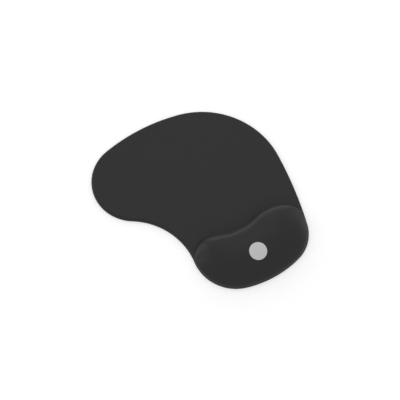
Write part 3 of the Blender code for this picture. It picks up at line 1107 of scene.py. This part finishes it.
grey_ink, ink_tree, ink_shader, ink_place = new_finish("grey_ink", INK_ROUGHNESS, INK_GLOSS)
ink_cloud = use_group(ink_tree, cloudy, ink_place, Size=INK_CLOUD, Contrast=INK_CONTRAST)["Shade"]
ink_height = use_group(ink_tree, stitches, ink_place, Wale=KNIT_WALE, Course=KNIT_COURSE)["Height"]
# painted shade: the ink's colour is a little darker where the stitches are low
ink_painted_shade = remap(ink_tree, ink_height, (0, 1), INK_PAINTED_STITCH_SHADE)
set_color(ink_tree, ink_shader, INK_GREY, math_of(ink_tree, "MULTIPLY", ink_cloud, ink_painted_shade))
set_relief(ink_tree, ink_shader, ink_height, INK_STITCH_DEPTH)
ink.data.materials.append(grey_ink)
print(grey_ink.name, "on", ink.name)

# %% [markdown]
# ## Black rubber
#
# The base is natural rubber: nearly black, dull and a little uneven in tone. Its pits are in the mesh
# already. The grain between them is too fine for a mesh, so it is a bump made of the shared pores.

# %% Black rubber
RUBBER_BLACK = (0.020, 0.020, 0.020)
RUBBER_ROUGHNESS = 0.60
RUBBER_GLOSS = 0.35
RUBBER_CLOUD = 0.008
RUBBER_CONTRAST = 0.30
RUBBER_PORE = 0.0004
RUBBER_PORE_DEPTH = 0.00003

black_rubber, rubber_tree, rubber_shader, rubber_place = new_finish(
    "black_rubber", RUBBER_ROUGHNESS, RUBBER_GLOSS
)
rubber_cloud = use_group(
    rubber_tree, cloudy, rubber_place, Size=RUBBER_CLOUD, Contrast=RUBBER_CONTRAST
)["Shade"]
rubber_pores = use_group(rubber_tree, pores, rubber_place, Size=RUBBER_PORE)["Height"]
set_color(rubber_tree, rubber_shader, RUBBER_BLACK, rubber_cloud)
set_relief(rubber_tree, rubber_shader, rubber_pores, RUBBER_PORE_DEPTH)
base.data.materials.append(black_rubber)
print(black_rubber.name, "on", base.name)

# %% [markdown]
# ## Grey foam
#
# Open-cell foam swallows the light that falls into its cells, so it has little gloss. The cells could be
# cut into the mesh, but this layer shows only when the pad is taken apart. So the shared pores give both
# its relief and a painted shade that darkens the bottoms of its cells.

# %% Grey foam
FOAM_GREY = (0.080, 0.080, 0.085)
FOAM_ROUGHNESS = 0.95
FOAM_GLOSS = 0.20
FOAM_CLOUD = 0.006
FOAM_CONTRAST = 0.40
FOAM_PORE = 0.0007
FOAM_PORE_PAINTED_SHADE = (0.6, 1.2)
FOAM_PORE_DEPTH = 0.00030

grey_foam, foam_tree, foam_shader, foam_place = new_finish("grey_foam", FOAM_ROUGHNESS, FOAM_GLOSS)
foam_cloud = use_group(foam_tree, cloudy, foam_place, Size=FOAM_CLOUD, Contrast=FOAM_CONTRAST)["Shade"]
foam_pores = use_group(foam_tree, pores, foam_place, Size=FOAM_PORE)["Height"]
# painted shade: the foam's colour is darker at the bottoms of the pores
pore_painted_shade = remap(foam_tree, foam_pores, (0, 1), FOAM_PORE_PAINTED_SHADE)
set_color(foam_tree, foam_shader, FOAM_GREY, math_of(foam_tree, "MULTIPLY", foam_cloud, pore_painted_shade))
set_relief(foam_tree, foam_shader, foam_pores, FOAM_PORE_DEPTH)
foam.data.materials.append(grey_foam)
print(grey_foam.name, "on", foam.name)

# %% [markdown]
# ## Soft gel
#
# The gel is taken to be pale blue and hazy. A volume shader could show the haze in depth, but it needs many
# more samples. Here most of the light passes through the surface, bent as in silicone, and the rest is
# scattered by the colour.

# %% Soft gel
GEL_BLUE = (0.55, 0.68, 0.74)
GEL_ROUGHNESS = 0.15
GEL_CLARITY = 0.7
GEL_IOR = 1.41
GEL_CLOUD = 0.010
GEL_CONTRAST = 0.25
PLAIN_GLOSS = 0.50

soft_gel, gel_tree, gel_shader, gel_place = new_finish("soft_gel", GEL_ROUGHNESS, PLAIN_GLOSS)
gel_shader.inputs["Transmission Weight"].default_value = GEL_CLARITY
gel_shader.inputs["IOR"].default_value = GEL_IOR
gel_cloud = use_group(gel_tree, cloudy, gel_place, Size=GEL_CLOUD, Contrast=GEL_CONTRAST)["Shade"]
set_color(gel_tree, gel_shader, GEL_BLUE, gel_cloud)
gel.data.materials.append(soft_gel)
print(soft_gel.name, "on", gel.name)

# %% [markdown]
# ## Clear film
#
# The films round the gel are thin, milky plastic that wrinkles a little where it is sealed. Such wrinkles
# could be modelled, but they are only tenths of a millimetre, so the cloudiness serves as a bump too. The
# flat film keeps its solid and only takes on this finish.

# %% Clear film
FILM_MILKY = (0.62, 0.66, 0.70)
FILM_ROUGHNESS = 0.25
FILM_CLARITY = 0.6
FILM_CLOUD = 0.005
FILM_CONTRAST = 0.20
FILM_WRINKLE = 0.00020

clear_film, film_tree, film_shader, film_place = new_finish("clear_film", FILM_ROUGHNESS, PLAIN_GLOSS)
film_shader.inputs["Transmission Weight"].default_value = FILM_CLARITY
film_cloud = use_group(film_tree, cloudy, film_place, Size=FILM_CLOUD, Contrast=FILM_CONTRAST)["Shade"]
set_color(film_tree, film_shader, FILM_MILKY, film_cloud)
set_relief(film_tree, film_shader, film_cloud, FILM_WRINKLE)
film.data.materials.append(clear_film)
frame["nodes"]["gel_film_lower"].material_slots[0].material = clear_film
print(clear_film.name, "on", film.name, "and on the flat film")
